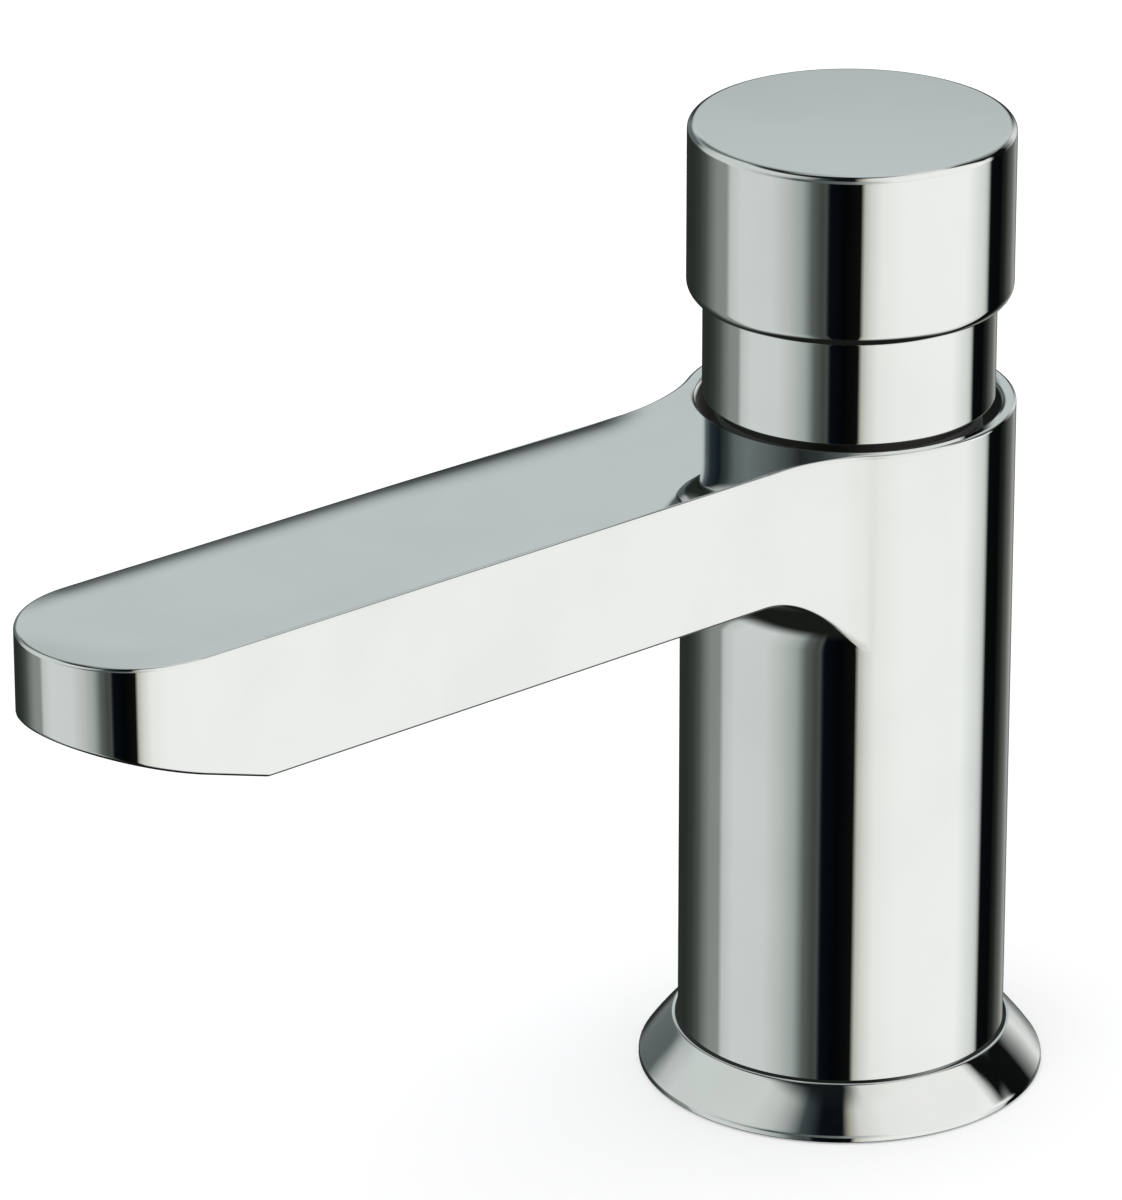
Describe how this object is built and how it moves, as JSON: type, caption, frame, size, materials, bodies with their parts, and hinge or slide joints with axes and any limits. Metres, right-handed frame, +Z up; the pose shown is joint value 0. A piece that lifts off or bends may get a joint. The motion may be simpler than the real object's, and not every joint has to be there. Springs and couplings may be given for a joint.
{
  "type": "push timed tap",
  "caption": "Push-button timed basin tap in chrome, with a wide round button over a round body, a flat-topped spout with a round nose, a domed base flange and a threaded inlet shank.",
  "frame": {"origin": "on the axis of the body and inlet shank, at the deck surface under the base flange", "axes": "+Z up along the body's axis, the spout points along -Y, +X is to the tap's left-right side"},
  "size_m": [0.0558, 0.1634, 0.189],
  "materials": {
    "polished_chrome": "mirror-polished chrome plate",
    "plain_brass": "machined, unplated",
    "stainless_steel": "turned or drawn, bare",
    "black_rubber": "moulded, matt",
    "dark_plastic": "moulded, satin",
    "aerator_plastic": "moulded, satin"
  },
  "bodies": {
    "tap": {"tap_body": "polished_chrome", "base_flange": "polished_chrome", "aerator_housing": "polished_chrome", "inlet_shank": "plain_brass", "backnut": "plain_brass", "valve_cage": "plain_brass", "dashpot_cylinder": "plain_brass", "clamp_washer": "stainless_steel", "inlet_strainer": "stainless_steel", "metering_needle": "stainless_steel", "retaining_ring": "stainless_steel", "return_spring": "stainless_steel", "base_seal": "black_rubber", "deck_gasket": "black_rubber", "cage_seal": "black_rubber", "head_gasket": "black_rubber", "gland_seal": "black_rubber", "bush_seal": "black_rubber", "spindle_seal": "black_rubber", "aerator_seal": "black_rubber", "guide_bush": "dark_plastic", "aerator_insert": "aerator_plastic", "flow_regulator": "aerator_plastic"},
    "button": {"push_cap": "polished_chrome", "button_skirt": "polished_chrome", "button_hub": "dark_plastic", "hub_screw": "stainless_steel", "spindle": "stainless_steel", "piston": "dark_plastic", "piston_seal": "black_rubber", "piston_nut": "stainless_steel", "valve_disc": "plain_brass", "valve_washer": "black_rubber", "disc_nut": "stainless_steel"}
  },
  "joints": [
    {"name": "button_press", "type": "slide", "parent": "tap", "child": "button", "axis": [0, 0, -1], "range_m": [0, 0.008], "stiffness_N_per_m": 2000, "springref_m": -0.012, "deforming": ["return_spring"]}
  ]
}
